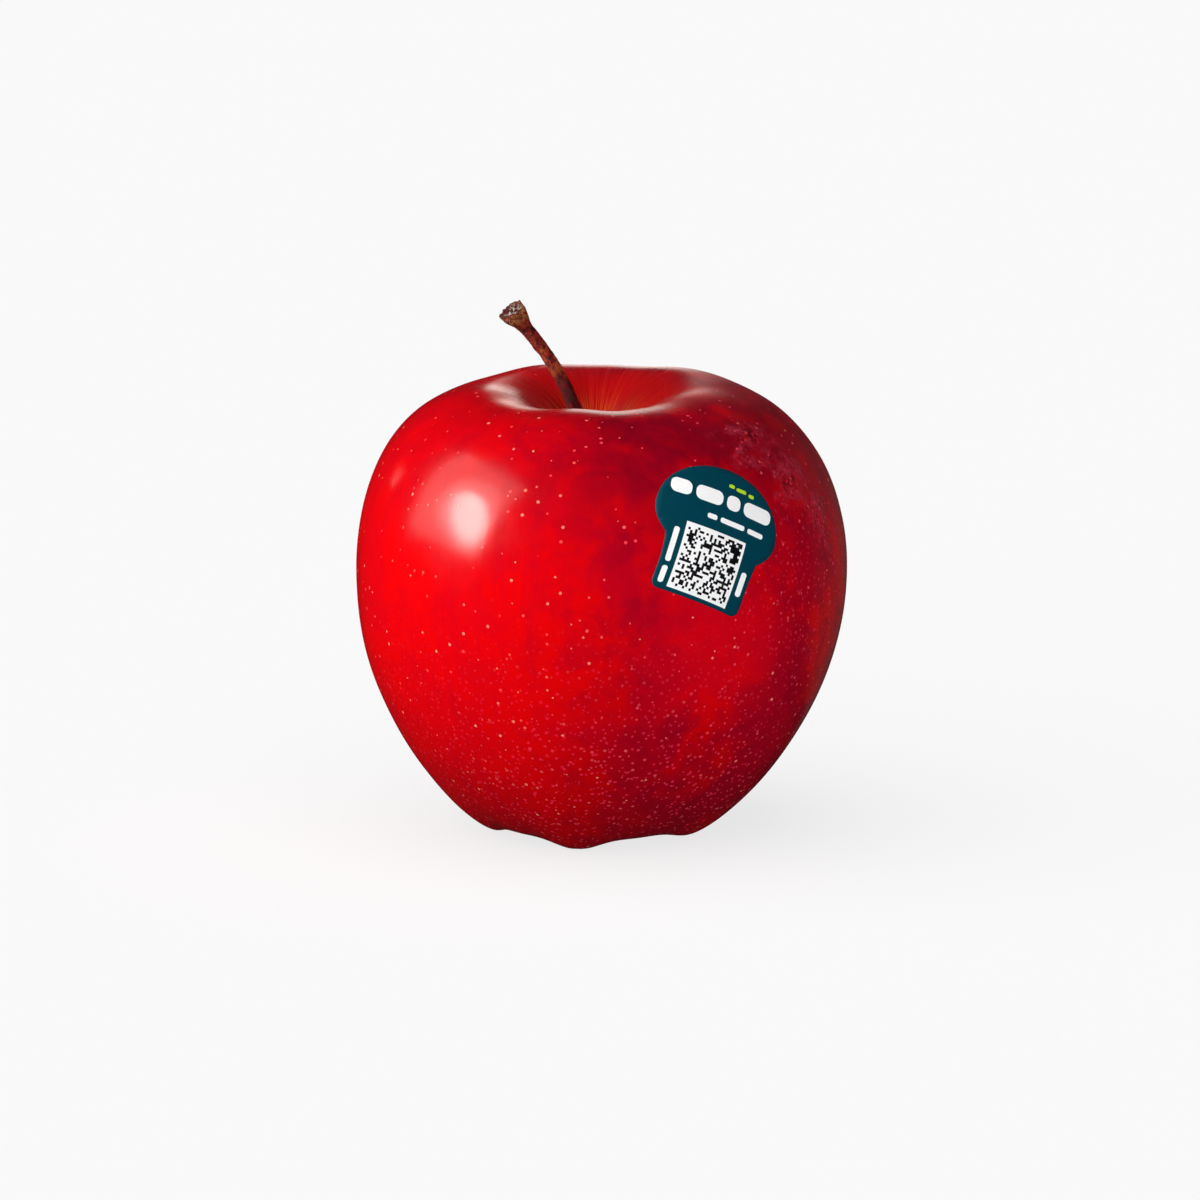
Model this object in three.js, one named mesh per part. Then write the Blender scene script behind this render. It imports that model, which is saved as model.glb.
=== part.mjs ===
// A red dessert apple standing on its calyx end: the fruit in one piece, its stalk, the five dried
// sepals and the tuft of dried stamens in the basin underneath, and a printed sticker on its cheek.
// Millimetres, +Z up. The fruit's front is -Y and its axis is the line from the stalk to the calyx.
import * as THREE from "three";
import { LoftGeometry } from "three/addons/geometries/LoftGeometry.js";

const { cos, sin, PI } = Math;
const DEGREE = PI / 180;
const TURN = 2 * PI;

// Fruit: overall sizes
const FRUIT_DIAMETER = 80;
const SHOULDER_HEIGHT = 73; // mean height of the shoulder's crest
const GIRTH_HEIGHT = 43; // where the fruit is widest
const GIRTH_OFFSET = 1.2; // the girth bulges this far to +X of the axis
const SHOULDER_LEAN = { x: 0.3, y: 1.4 }; // how much higher the crest is towards +X and +Y

// Fruit: the hollow round the stalk, and the basin round the calyx
const CREST_RADIUS = 18.2; // ring where the shoulder is highest
const CAVITY_DEPTH = 14;
const BASIN_DEPTH = 8;
const BASIN_RIM = 1; // how far the basin's ceiling reaches past the sepals

// Fruit: five lobes round the calyx end, which run up as faint ribs to the shoulder
const LOBE_COUNT = 5;
const FRONT_LOBE = -100 * DEGREE;
const LOBE_RADIUS = 15.4; // ring that the lobes' undersides lie on
const LOBE_WIDTH = 0.45; // radians that one lobe's own traits reach to each side
const GROOVE_DEPTH = 1.5; // how far the fruit is hollowed between two lobes
const SHOULDER_RIB = 0.45; // how far the crest dips between two ribs
const LOBE_TRAITS = [
  { reach: 0.0, lift: 0.0 },
  { reach: 1.5, lift: 0.8 },
  { reach: 0.6, lift: 0.0 },
  { reach: 1.0, lift: 0.0 },
  { reach: 0.8, lift: 0.4 },
]; // what each lobe, from the front one round by +X, adds to that ring's radius and height
const FLAT_SPOT_DEPTH = 0.3; // what is pressed flat where a lobe rests

// Fruit: how full each stretch of the outline is, as shares of its own width and height
const CAVITY_FULLNESS = { across: 0.15, up: 0.57, crest: 0.4 };
const SHOULDER_FULLNESS = { across: 0.545, up: 0.605 };
const FLANK_FULLNESS = { down: 0.595, across: 0.18 };
const BASIN_FULLNESS = { across: 0.42, up: 0.3 };

// Stalk
const STALK_RADIUS = 1.05;
const STALK_BASE_RADIUS = 1.25; // in its socket
const STALK_END_RADIUS = 2.1; // the knob where it broke off the spur
const STALK_KNOB_LENGTH = 4.5;
const STALK_RISE = 26.9; // from the cavity's floor to the middle of the knob's end
const STALK_REACH = 13.3; // how far the knob has leant over to -X
const STALK_SWAY = 1.2; // how far the stalk wanders to +Y on the way
const STALK_BEND = [
  [0.0, 0.03],
  [0.05, 0.16],
  [0.215, 0.37],
  [0.45, 0.62],
  [0.67, 0.79],
  [1.0, 1.0],
]; // shares of the reach and of the rise
const STALK_END_TILT = 25 * DEGREE; // the broken face leans this far over
const SOCKET_DEPTH = 2.5;

// Calyx
const SEPAL_THICKNESS = 0.5;
const SEPAL_TAPER = 0.35; // share of its width that a sepal loses before its tip
const SEPAL_TIP = { halfWidth: 0.25, halfThickness: 0.15 };
const SEPAL_TIP_HEIGHT = 2; // above the resting surface
const SEPAL_FLARE = 1.8; // how far a sepal's tip turns out from its root
const SEPAL_BEND = [
  [0.0, 0.0],
  [0.05, 0.4],
  [0.3, 0.75],
  [1.0, 1.0],
]; // shares of the flare and of the drop
const TUFT_RADIUS = 1.8;
const TUFT_LENGTH = 4.2;
const TUFT_FLUTES = 7;
const TUFT_SHAPE = [
  [0.0, 1.0],
  [0.35, 1.0],
  [0.7, 0.85],
  [1.0, 0.7],
]; // shares of the length and of the radius
const TUFT_FLUTE_SHARE = 0.7; // of the radius, in the bottom of a flute
const TUFT_SOCKET_DEPTH = 1.5;

// Sticker
const STICKER_THICKNESS = 0.15;
const STICKER_HEAD = { halfWidth: 10.7, above: 9.1, below: 6.6 }; // an oval head
const STICKER_TAIL = { halfWidth: 7.8, drop: 12.9, corner: 1.4 }; // and a squarer tail under it
const STICKER_NOTCH = 40 * DEGREE; // where the head's oval turns into the tail
const STICKER_AZIMUTH = -59.2 * DEGREE;
const STICKER_DROP = 17; // from the shoulder's crest down to the head's middle
const STICKER_ROLL = -25.6 * DEGREE; // its top leans to its own right

// Clearances between pieces
const SEAT_GAP = 0.3;
const STICKER_GAP = 0.15;

// Facets
const SIDES_PER_LOBE = 16;
const SPAN_STEPS = [9, 13, 18, 12]; // cavity, shoulder, flank and basin
const STALK_STEPS = 22;
const STALK_SIDES = 12;
const SEPAL_STEPS = 8;
const SEPAL_SIDES = 8;
const STICKER_RINGS = 5;
const STICKER_SIDES = 60;

const CAVITY_FLOOR = SHOULDER_HEIGHT - CAVITY_DEPTH;
const SOCKET_RADIUS = STALK_BASE_RADIUS + SEAT_GAP;
const TUFT_SOCKET_RADIUS = TUFT_RADIUS + SEAT_GAP;
const SEPAL_RING = TUFT_SOCKET_RADIUS + SEPAL_THICKNESS; // radius of the sepals' roots
const BASIN_MOUTH = SEPAL_RING + SEPAL_THICKNESS / 2 + BASIN_RIM;

const evenly = (count) => Array.from({ length: count }, (_, i) => i / count);
const smooth = (t) => t * t * (3 - 2 * t);
const mix = THREE.MathUtils.lerp;
const around = (radius, azimuth, z) =>
  new THREE.Vector3(radius * cos(azimuth), radius * sin(azimuth), z);

// The shortest turn from one azimuth to another, signed.
const turnBetween = (a, b) => Math.atan2(sin(b - a), cos(b - a));

// 1 on the middle of a lobe and 0 in the groove between two.
const lobeShare = (azimuth) => (0.5 + 0.5 * cos(LOBE_COUNT * (azimuth - FRONT_LOBE))) ** 2;

// What the nearest lobes add to one trait of the ring that the fruit stands on.
function lobeTrait(azimuth, trait) {
  return LOBE_TRAITS.reduce((sum, lobe, i) => {
    const off = turnBetween(FRONT_LOBE + (i * TURN) / LOBE_COUNT, azimuth) / LOBE_WIDTH;
    return sum + lobe[trait] * Math.exp(-off * off);
  }, 0);
}

// The fruit's outline at one azimuth, as (radius, height) curves from the stalk to the calyx.
function outlineAt(azimuth) {
  const lobe = lobeShare(azimuth);
  const girth = FRUIT_DIAMETER / 2 + GIRTH_OFFSET * cos(azimuth);
  const lean = SHOULDER_LEAN.x * cos(azimuth) + SHOULDER_LEAN.y * sin(azimuth);
  const crest = SHOULDER_HEIGHT + lean - SHOULDER_RIB * (1 - lobe);
  const foot = LOBE_RADIUS + lobeTrait(azimuth, "reach");
  const base = GROOVE_DEPTH * (1 - lobe) + lobeTrait(azimuth, "lift") - FLAT_SPOT_DEPTH;

  const cavityWidth = CREST_RADIUS - SOCKET_RADIUS;
  const shoulderWidth = girth - CREST_RADIUS;
  const flankWidth = girth - foot;
  const basinWidth = foot - BASIN_MOUTH;
  const curve = (...points) =>
    new THREE.CubicBezierCurve(...points.map(([r, z]) => new THREE.Vector2(r, z)));
  return [
    curve(
      [SOCKET_RADIUS, CAVITY_FLOOR],
      [
        SOCKET_RADIUS + CAVITY_FULLNESS.across * cavityWidth,
        CAVITY_FLOOR + CAVITY_FULLNESS.up * CAVITY_DEPTH,
      ],
      [CREST_RADIUS - CAVITY_FULLNESS.crest * cavityWidth, crest],
      [CREST_RADIUS, crest],
    ),
    curve(
      [CREST_RADIUS, crest],
      [CREST_RADIUS + SHOULDER_FULLNESS.across * shoulderWidth, crest],
      [girth, GIRTH_HEIGHT + SHOULDER_FULLNESS.up * (crest - GIRTH_HEIGHT)],
      [girth, GIRTH_HEIGHT],
    ),
    curve(
      [girth, GIRTH_HEIGHT],
      [girth, GIRTH_HEIGHT - FLANK_FULLNESS.down * (GIRTH_HEIGHT - base)],
      [foot + FLANK_FULLNESS.across * flankWidth, base],
      [foot, base],
    ),
    curve(
      [foot, base],
      [foot - BASIN_FULLNESS.across * basinWidth, base],
      [BASIN_MOUTH, BASIN_DEPTH - BASIN_FULLNESS.up * BASIN_DEPTH],
      [BASIN_MOUTH, BASIN_DEPTH],
    ),
  ];
}

// One solid: the stalk's socket, the cavity, the shoulder, the flank, the basin and the calyx socket.
function fruitGeometry() {
  const sides = evenly(LOBE_COUNT * SIDES_PER_LOBE);
  const azimuths = sides.map((share) => FRONT_LOBE - share * TURN);
  const outlines = azimuths.map(outlineAt);
  const ringOn = (span, t) =>
    azimuths.map((azimuth, i) => {
      const { x: radius, y: height } = outlines[i][span].getPoint(t);
      return around(radius, azimuth, Math.max(height, 0));
    });
  const flatRing = (radius, z) => azimuths.map((azimuth) => around(radius, azimuth, z));

  const socketFloor = CAVITY_FLOOR - SOCKET_DEPTH;
  const rings = [flatRing(0, socketFloor), flatRing(SOCKET_RADIUS, socketFloor)];
  SPAN_STEPS.forEach((steps, span) => {
    for (let i = span === 0 ? 0 : 1; i <= steps; i++) rings.push(ringOn(span, i / steps));
  });
  rings.push(flatRing(TUFT_SOCKET_RADIUS, BASIN_DEPTH));
  rings.push(flatRing(TUFT_SOCKET_RADIUS, BASIN_DEPTH + TUFT_SOCKET_DEPTH));
  rings.push(flatRing(0, BASIN_DEPTH + TUFT_SOCKET_DEPTH));
  return new LoftGeometry(rings);
}

// A ring of points round a centre, in the plane square to forward. It is flattened where depth differs
// from width.
function sectionRing(centre, forward, sideways, width, depth, sides) {
  const across = sideways.clone().addScaledVector(forward, -sideways.dot(forward)).normalize();
  const over = new THREE.Vector3().crossVectors(forward, across);
  return evenly(sides).map((share) =>
    centre
      .clone()
      .addScaledVector(across, width * cos(share * TURN))
      .addScaledVector(over, depth * sin(share * TURN)),
  );
}

// The stalk: from its socket up out of the cavity, leaning over, to the knob it broke off at.
function stalkGeometry() {
  const seat = new THREE.Vector3(0, 0, CAVITY_FLOOR - SOCKET_DEPTH + SEAT_GAP);
  const bend = STALK_BEND.map(
    ([reach, rise]) =>
      new THREE.Vector3(
        -STALK_REACH * reach,
        STALK_SWAY * sin(rise * PI),
        CAVITY_FLOOR + STALK_RISE * rise,
      ),
  );
  const route = new THREE.CatmullRomCurve3([seat, ...bend]);
  const length = route.getLength();
  const brokenFace = new THREE.Vector3(-sin(STALK_END_TILT), 0, cos(STALK_END_TILT));

  const rings = [];
  for (let i = 0; i <= STALK_STEPS; i++) {
    const t = i / STALK_STEPS;
    const toBase = smooth(THREE.MathUtils.clamp((t * length) / (2 * SOCKET_DEPTH), 0, 1));
    const toEnd = smooth(THREE.MathUtils.clamp(1 - ((1 - t) * length) / STALK_KNOB_LENGTH, 0, 1));
    const shaft = mix(STALK_BASE_RADIUS, STALK_RADIUS, toBase);
    const radius = mix(shaft, STALK_END_RADIUS, toEnd);
    const forward = route.getTangentAt(t).lerp(brokenFace, toEnd).normalize();
    const sideways = new THREE.Vector3(0, 1, 0);
    rings.push(sectionRing(route.getPointAt(t), forward, sideways, radius, radius, STALK_SIDES));
  }
  return new LoftGeometry(rings, { capStart: true, capEnd: true });
}

// One dried sepal: a pointed leaf that hangs from the basin's ceiling and turns out at its tip.
function sepalGeometry(azimuth) {
  const root = BASIN_DEPTH - SEAT_GAP;
  const drop = root - SEPAL_TIP_HEIGHT;
  const halfWidth = SEPAL_RING * Math.tan(PI / LOBE_COUNT) - SEAT_GAP;
  const route = new THREE.CatmullRomCurve3(
    SEPAL_BEND.map(([out, down]) =>
      around(SEPAL_RING + SEPAL_FLARE * out, azimuth, root - drop * down),
    ),
  );
  const sideways = around(1, azimuth + PI / 2, 0);
  const rings = [];
  for (let i = 0; i <= SEPAL_STEPS; i++) {
    const t = i / SEPAL_STEPS;
    const width = mix(halfWidth * (1 - SEPAL_TAPER * t), SEPAL_TIP.halfWidth, t ** 2);
    const depth = mix(SEPAL_THICKNESS / 2, SEPAL_TIP.halfThickness, t);
    rings.push(
      sectionRing(route.getPointAt(t), route.getTangentAt(t), sideways, width, depth, SEPAL_SIDES),
    );
  }
  return new LoftGeometry(rings, { capStart: true, capEnd: true });
}

// The dried stamens and styles, one fluted tuft in its socket between the sepals.
function tuftGeometry() {
  const top = BASIN_DEPTH + TUFT_SOCKET_DEPTH - SEAT_GAP;
  const rings = TUFT_SHAPE.map(([along, wide], row) =>
    evenly(2 * TUFT_FLUTES).map((share, i) => {
      const flute = row > 1 && i % 2 ? TUFT_FLUTE_SHARE : 1;
      return around(TUFT_RADIUS * wide * flute, -share * TURN, top - TUFT_LENGTH * along);
    }),
  );
  return new LoftGeometry(rings, { capStart: true, capEnd: true });
}

// The sticker's outline on the flat, anticlockwise, with the head's middle at (0, 0).
function stickerOutline() {
  const { halfWidth, above, below } = STICKER_HEAD;
  const { halfWidth: tail, drop, corner } = STICKER_TAIL;
  const notch = { x: halfWidth * cos(STICKER_NOTCH), y: -below * sin(STICKER_NOTCH) };
  const waist = (notch.y - drop) / 2;
  const outline = new THREE.Path();
  outline.moveTo(0, -drop);
  outline.lineTo(tail - corner, -drop);
  outline.quadraticCurveTo(tail, -drop, tail, corner - drop);
  outline.lineTo(tail, waist);
  outline.quadraticCurveTo(tail, (waist + notch.y) / 2, notch.x, notch.y);
  outline.absellipse(0, 0, halfWidth, below, -STICKER_NOTCH, 0);
  outline.absellipse(0, 0, halfWidth, above, 0, PI);
  outline.absellipse(0, 0, halfWidth, below, PI, PI + STICKER_NOTCH);
  outline.quadraticCurveTo(-tail, (waist + notch.y) / 2, -tail, waist);
  outline.lineTo(-tail, corner - drop);
  outline.quadraticCurveTo(-tail, -drop, corner - tail, -drop);
  outline.lineTo(0, -drop);
  return outline.getSpacedPoints(STICKER_SIDES).slice(0, -1);
}

// The sticker, bent onto the fruit: each of its points is dropped square onto the skin from outside.
function stickerGeometry(fruit) {
  const ray = new THREE.Raycaster();
  const drop = (from, towards) => {
    ray.set(from, towards);
    return ray.intersectObject(fruit)[0];
  };
  const outwards = around(1, STICKER_AZIMUTH, 0);
  const start = around(FRUIT_DIAMETER, STICKER_AZIMUTH, SHOULDER_HEIGHT - STICKER_DROP);
  const seat = drop(start, outwards.clone().negate());
  const normal = seat.face.normal.clone();
  const upright = new THREE.Vector3(0, 0, 1).addScaledVector(normal, -normal.z).normalize();
  const up = upright.applyAxisAngle(normal, STICKER_ROLL);
  const right = new THREE.Vector3().crossVectors(up, normal);

  const onSkin = (x, y, height) => {
    const flat = seat.point.clone().addScaledVector(right, x).addScaledVector(up, y);
    const from = flat.addScaledVector(normal, FRUIT_DIAMETER);
    return drop(from, normal.clone().negate()).point.addScaledVector(normal, height);
  };
  const outline = stickerOutline();
  const middle = new THREE.Vector2(0, (STICKER_HEAD.above - STICKER_TAIL.drop) / 2);
  const ringAt = (share, height) =>
    outline.map((p) => {
      const { x, y } = p.clone().sub(middle).multiplyScalar(share).add(middle);
      return onSkin(x, y, height);
    });
  const shares = [...evenly(STICKER_RINGS), 1];
  const back = shares.map((share) => ringAt(share, STICKER_GAP));
  const face = shares.map((share) => ringAt(share, STICKER_GAP + STICKER_THICKNESS));
  return new LoftGeometry([...back, ...face.reverse()]);
}

const skin = new THREE.MeshStandardMaterial({ color: 0xb00810, roughness: 0.25 });
const bark = new THREE.MeshStandardMaterial({ color: 0x6b2a1c, roughness: 0.8 });
const driedLeaf = new THREE.MeshStandardMaterial({ color: 0x5a4630, roughness: 0.9 });
const printedFilm = new THREE.MeshStandardMaterial({ color: 0x04414d, roughness: 0.35 });

function named(name, geometry, material) {
  const mesh = new THREE.Mesh(geometry, material);
  mesh.name = name;
  return mesh;
}

const fruit = named("fruit", fruitGeometry(), skin);
const pieces = new THREE.Group();
pieces.add(fruit);
pieces.add(named("stalk", stalkGeometry(), bark));
for (let i = 0; i < LOBE_COUNT; i++) {
  const azimuth = FRONT_LOBE + ((i + 0.5) * TURN) / LOBE_COUNT;
  pieces.add(named(`sepal_${i + 1}`, sepalGeometry(azimuth), driedLeaf));
}
pieces.add(named("stamen_tuft", tuftGeometry(), driedLeaf));
pieces.add(named("sticker", stickerGeometry(fruit), printedFilm));

// The origin is on the resting surface, under the middle of the whole.
const box = new THREE.Box3().setFromObject(pieces);
const middle = box.getCenter(new THREE.Vector3());
pieces.position.set(-middle.x, -middle.y, -box.min.z);

const apple = new THREE.Group();
apple.add(pieces);
export default apple;
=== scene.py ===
"""Looks of the red apple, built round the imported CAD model: fine skin, stalk, calyx and sticker.

Lengths are in millimetres until a mesh is made, and places inside a material are in metres. The fruit's
front is -Y. Its sizes are those of the CAD source, and where it stands comes from the frame. The stalk's
foot is slimmer than the CAD's, its rise is less because its broken face is tilted to the front, and the
sticker is a thinner film that lies closer.
"""

import math

import bpy
import numpy as np
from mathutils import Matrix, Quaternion, Vector, noise
from mathutils.bvhtree import BVHTree
from mathutils.geometry import delaunay_2d_cdt


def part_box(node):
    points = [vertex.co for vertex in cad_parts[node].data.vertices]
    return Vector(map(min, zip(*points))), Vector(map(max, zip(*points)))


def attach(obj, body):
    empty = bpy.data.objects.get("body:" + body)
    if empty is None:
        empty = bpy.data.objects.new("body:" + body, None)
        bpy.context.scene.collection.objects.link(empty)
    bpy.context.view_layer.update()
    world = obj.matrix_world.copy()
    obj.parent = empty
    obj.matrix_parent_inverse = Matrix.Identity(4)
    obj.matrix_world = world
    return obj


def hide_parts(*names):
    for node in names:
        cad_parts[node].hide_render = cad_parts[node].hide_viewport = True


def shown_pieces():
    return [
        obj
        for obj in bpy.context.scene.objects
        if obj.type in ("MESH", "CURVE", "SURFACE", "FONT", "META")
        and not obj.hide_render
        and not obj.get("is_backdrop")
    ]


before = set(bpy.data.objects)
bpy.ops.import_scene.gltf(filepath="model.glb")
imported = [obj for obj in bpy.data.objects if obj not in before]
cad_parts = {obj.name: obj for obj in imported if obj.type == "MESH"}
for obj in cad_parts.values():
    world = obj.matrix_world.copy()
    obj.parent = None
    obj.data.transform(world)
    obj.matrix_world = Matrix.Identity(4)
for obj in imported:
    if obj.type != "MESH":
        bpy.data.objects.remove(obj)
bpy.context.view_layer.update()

MM = 0.001
TURN = 2 * math.pi
DEGREE = math.pi / 180

# Fruit, as in the CAD source
FRUIT_RADIUS = 40
SHOULDER_HEIGHT = 73
GIRTH_HEIGHT = 43
GIRTH_OFFSET = 1.2
SHOULDER_LEAN = (0.3, 1.4)
CREST_RADIUS = 18.2
CAVITY_DEPTH = 14
BASIN_DEPTH = 8
BASIN_MOUTH = 3.85
LOBE_COUNT = 5
FRONT_LOBE = -100 * DEGREE
LOBE_RADIUS = 15.4
LOBE_WIDTH = 0.45
GROOVE_DEPTH = 1.5
SHOULDER_RIB = 0.45
LOBE_REACH = (0.0, 1.5, 0.6, 1.0, 0.8)
LOBE_LIFT = (0.0, 0.8, 0.0, 0.0, 0.4)
FLAT_SPOT_DEPTH = 0.3
CAVITY_FULLNESS = {"across": 0.15, "up": 0.57, "crest": 0.4}
SHOULDER_FULLNESS = {"across": 0.545, "up": 0.605}
FLANK_FULLNESS = {"down": 0.595, "across": 0.18}
BASIN_FULLNESS = {"across": 0.42, "up": 0.3}
CAVITY_FLOOR = SHOULDER_HEIGHT - CAVITY_DEPTH
STALK_SOCKET = {"radius": 1.25, "depth": 2.5}
TUFT_SOCKET = {"radius": 2.1, "depth": 1.5}
PINHOLE = 0.02  # radius of the last ring of a closed end

# Fruit: fine relief that the CAD solid leaves out
SIDES = 320
SPAN_ROWS = (46, 60, 84, 40)
SWELLS = ((26, 0.3), (9, 0.06))  # (how wide, how high) of the skin's soft unevenness
FLANK_RIB = 0.1
CAVITY_FURROW = 0.09
BASIN_PLEAT = 0.28
CURVE_STEPS = 24  # between two points of a smooth route

# Stalk
STALK_ROWS, STALK_SIDES = 150, 48
STALK_RADIUS = 1.05
STALK_BASE_RADIUS = 1.12
STALK_END_RADIUS = 2.1
STALK_KNOB_LENGTH = 4.5
STALK_RISE = 26.1
STALK_REACH = 13.3
STALK_SWAY = 1.2
STALK_BEND = ((0.0, 0.03), (0.05, 0.16), (0.215, 0.37), (0.45, 0.62), (0.67, 0.79), (1.0, 1.0))
STALK_END_FACE = (-0.52, -0.36, 0.77)  # which way the broken face looks
STALK_SEAT_GAP = 0.3  # between its foot and the socket's floor
STALK_TWIST = 0.05  # radians a millimetre
STALK_GROOVE = {"azimuth": 4.1, "width": 0.3, "depth": 0.24, "end": 0.75}
STALK_BUD_SCAR = {"share": 0.62, "azimuth": 1.9, "reach": 0.7, "height": 0.16}

# From the broken face's ragged rim into its shallow hollow
BROKEN_SCALES = (0.96, 0.86, 0.72, 0.55, 0.38, 0.22, 0.1)
BROKEN_LIFTS = (0.14, 0.2, 0.02, -0.34, -0.56, -0.5, -0.4)

# Calyx
SEPAL_RING = 2.6
SEPAL_THICKNESS = 0.3
SEPAL_TIP_HEIGHT = 2
SEPAL_FLARE = 1.8
SEPAL_BEND = ((0.0, 0.0), (0.05, 0.4), (0.3, 0.75), (1.0, 1.0))
FILAMENTS = 18
FILAMENT_ROWS, FILAMENT_SIDES = 26, 8
FILAMENT_RADIUS = 0.13
FILAMENT_SPREAD = 1.45
GOLDEN_SHARE = 0.382  # of a turn, from each filament to the next

# Sticker
STICKER_HEAD = {"half": 10.7, "above": 9.1, "below": 6.6}
STICKER_TAIL = {"half": 7.8, "drop": 12.9, "corner": 1.4}
STICKER_NOTCH = 40 * DEGREE
STICKER_AZIMUTH = -59.2 * DEGREE
STICKER_DROP = 17
STICKER_ROLL = -25.6 * DEGREE
STICKER_LIFT = 0.03
STICKER_THICKNESS = 0.07
STICKER_FILL = {"x": (-10.4, 10.5), "y": (-12.6, 9.0), "step": 0.8}  # the points between the print
PANEL_HALF = 5.3
PANEL_MIDDLE = (0.0, -7.0)
PANEL_MARGIN = 0.45
PANEL_CELLS = 25
PANEL_INNER = PANEL_HALF - PANEL_MARGIN
BAR_CORNER_STEPS = 5
INK = {"none": (0, 0, 0), "white": (1, 0, 0), "black": (0, 1, 0), "lime": (0, 0, 1)}

# Skin marks and the middle of a painted pool of light, in metres
PAINTED_LIGHT_SPOT = (0.018, -0.033, 0.036)
SCUFF = ((0.0245, -0.0215, 0.068), (0.031, -0.02, 0.062), (0.0358, -0.017, 0.0545))


def smooth(value, low=0.0, high=1.0):
    """A soft step from 0 at low to 1 at high."""
    t = np.clip((np.asarray(value, float) - low) / (high - low), 0, 1)
    return t * t * (3 - 2 * t)


def rough(points, width, offset=0.0):
    """Perlin noise, about -1 to 1, whose bumps are about width across, at each of the points."""
    shape = np.shape(points)[:-1]
    flat = np.reshape(points, (-1, 3)) / width + offset
    return np.array([noise.noise(Vector(p)) for p in flat]).reshape(shape)


def unit(vectors):
    """The same directions, each with a length of 1."""
    return vectors / np.linalg.norm(vectors, axis=-1, keepdims=True)


def run_along(points, power=1):
    """How far along a line of points each of them lies. Each step is raised to the power first."""
    steps = np.linalg.norm(np.diff(points, axis=0), axis=1) ** power
    return np.concatenate([[0], np.cumsum(steps)])


# ---- Meshes


def round_axis(turn, radius, z):
    """Rings of points round an upright axis."""
    x, y = np.asarray(radius) * np.cos(turn), np.asarray(radius) * np.sin(turn)
    return np.stack(np.broadcast_arrays(x, y, z), axis=-1)


def add_object(name, data):
    """A new object in the scene."""
    thing = bpy.data.objects.new(name, data)
    bpy.context.scene.collection.objects.link(thing)
    return thing


def make_piece(name, points, faces, material, replaces):
    """A closed mesh piece from points in millimetres. It rides on the body and stands for a CAD node."""
    mesh = bpy.data.meshes.new(name)
    mesh.from_pydata((np.asarray(points, float) * MM).tolist(), [], faces)
    mesh.validate()
    mesh.shade_smooth()
    mesh.materials.append(material)
    piece = add_object(name, mesh)
    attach(piece, "root")
    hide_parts(replaces)
    return piece


def add_attribute(piece, name, values, kind="FLOAT", domain="POINT"):
    """Stores one value for each point or face, for the material to read."""
    attribute = piece.data.attributes.new(name, kind, domain)
    field = "vector" if kind == "FLOAT_VECTOR" else "value"
    attribute.data.foreach_set(field, np.asarray(values, np.float32).ravel())


def closed_rings(rings):
    """Points and faces of a closed skin over the rings, with a point in the middle of each end."""
    rows, sides = rings.shape[:2]
    points = np.vstack([rings.reshape(-1, 3), rings[0].mean(0), rings[-1].mean(0)])
    start, end = rows * sides, rows * sides + 1
    pairs = [(i, (i + 1) % sides) for i in range(sides)]
    faces = []
    for low in range(0, start - sides, sides):
        faces += [(low + i, low + j, low + sides + j, low + sides + i) for i, j in pairs]
    last = start - sides
    for i, j in pairs:
        faces += [(start, j, i), (end, last + i, last + j)]
    return points, faces


def smooth_route(points, count):
    """Evenly spaced points on a centripetal Catmull-Rom curve, which is what the CAD routes are."""
    p = np.asarray(points, float)
    p = np.vstack([2 * p[0] - p[1], p, 2 * p[-1] - p[-2]])
    knots = run_along(p, 0.5)
    fine = []
    for i in range(1, len(p) - 2):
        for t in np.linspace(knots[i], knots[i + 1], CURVE_STEPS, endpoint=i == len(p) - 3):
            level = [p[i + k - 1] for k in range(4)]
            for width in (1, 2, 3):
                pairs = enumerate(zip(level, level[1:]))
                level = [blend_between(a, b, knots, i, k, width, t) for k, (a, b) in pairs]
            fine.append(level[0])
    fine = np.array(fine)
    run = run_along(fine)
    at = np.linspace(0, run[-1], count)
    return np.column_stack([np.interp(at, run, fine[:, axis]) for axis in range(3)])


def blend_between(a, b, knots, i, k, width, t):
    """One step of the Catmull-Rom pyramid: a and b mixed by where t lies between their knots."""
    low, high = (knots[i], knots[i + 1]) if width == 3 else (knots[i + k - 1], knots[i + k + width - 1])
    return ((high - t) * a + (t - low) * b) / (high - low)


def tangents(route):
    """The direction of a route at each of its points."""
    return unit(np.gradient(route, axis=0))


def spokes(across, over, turn):
    """Unit vectors round each point of a route, at each angle of turn."""
    return across[:, None] * np.cos(turn)[None, :, None] + over[:, None] * np.sin(turn)[None, :, None]


def surface_tree(thing):
    """A search tree of an object's faces, in millimetres."""
    points = [v.co / MM for v in thing.data.vertices]
    return BVHTree.FromPolygons(points, [p.vertices[:] for p in thing.data.polygons])


# ---- Fruit


def turn_between(a, b):
    """The shortest turn from one azimuth to another, signed."""
    return np.arctan2(np.sin(b - a), np.cos(b - a))


def lobe_share(azimuth):
    """1 on the middle of a lobe and 0 in the groove between two."""
    return (0.5 + 0.5 * np.cos(LOBE_COUNT * (azimuth - FRONT_LOBE))) ** 2


def lobe_sum(azimuth, traits):
    """What the nearest lobes add to one trait of the ring that the fruit stands on."""
    total = np.zeros_like(azimuth)
    for i, trait in enumerate(traits):
        off = turn_between(FRONT_LOBE + i * TURN / LOBE_COUNT, azimuth) / LOBE_WIDTH
        total += trait * np.exp(-(off**2))
    return total


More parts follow.
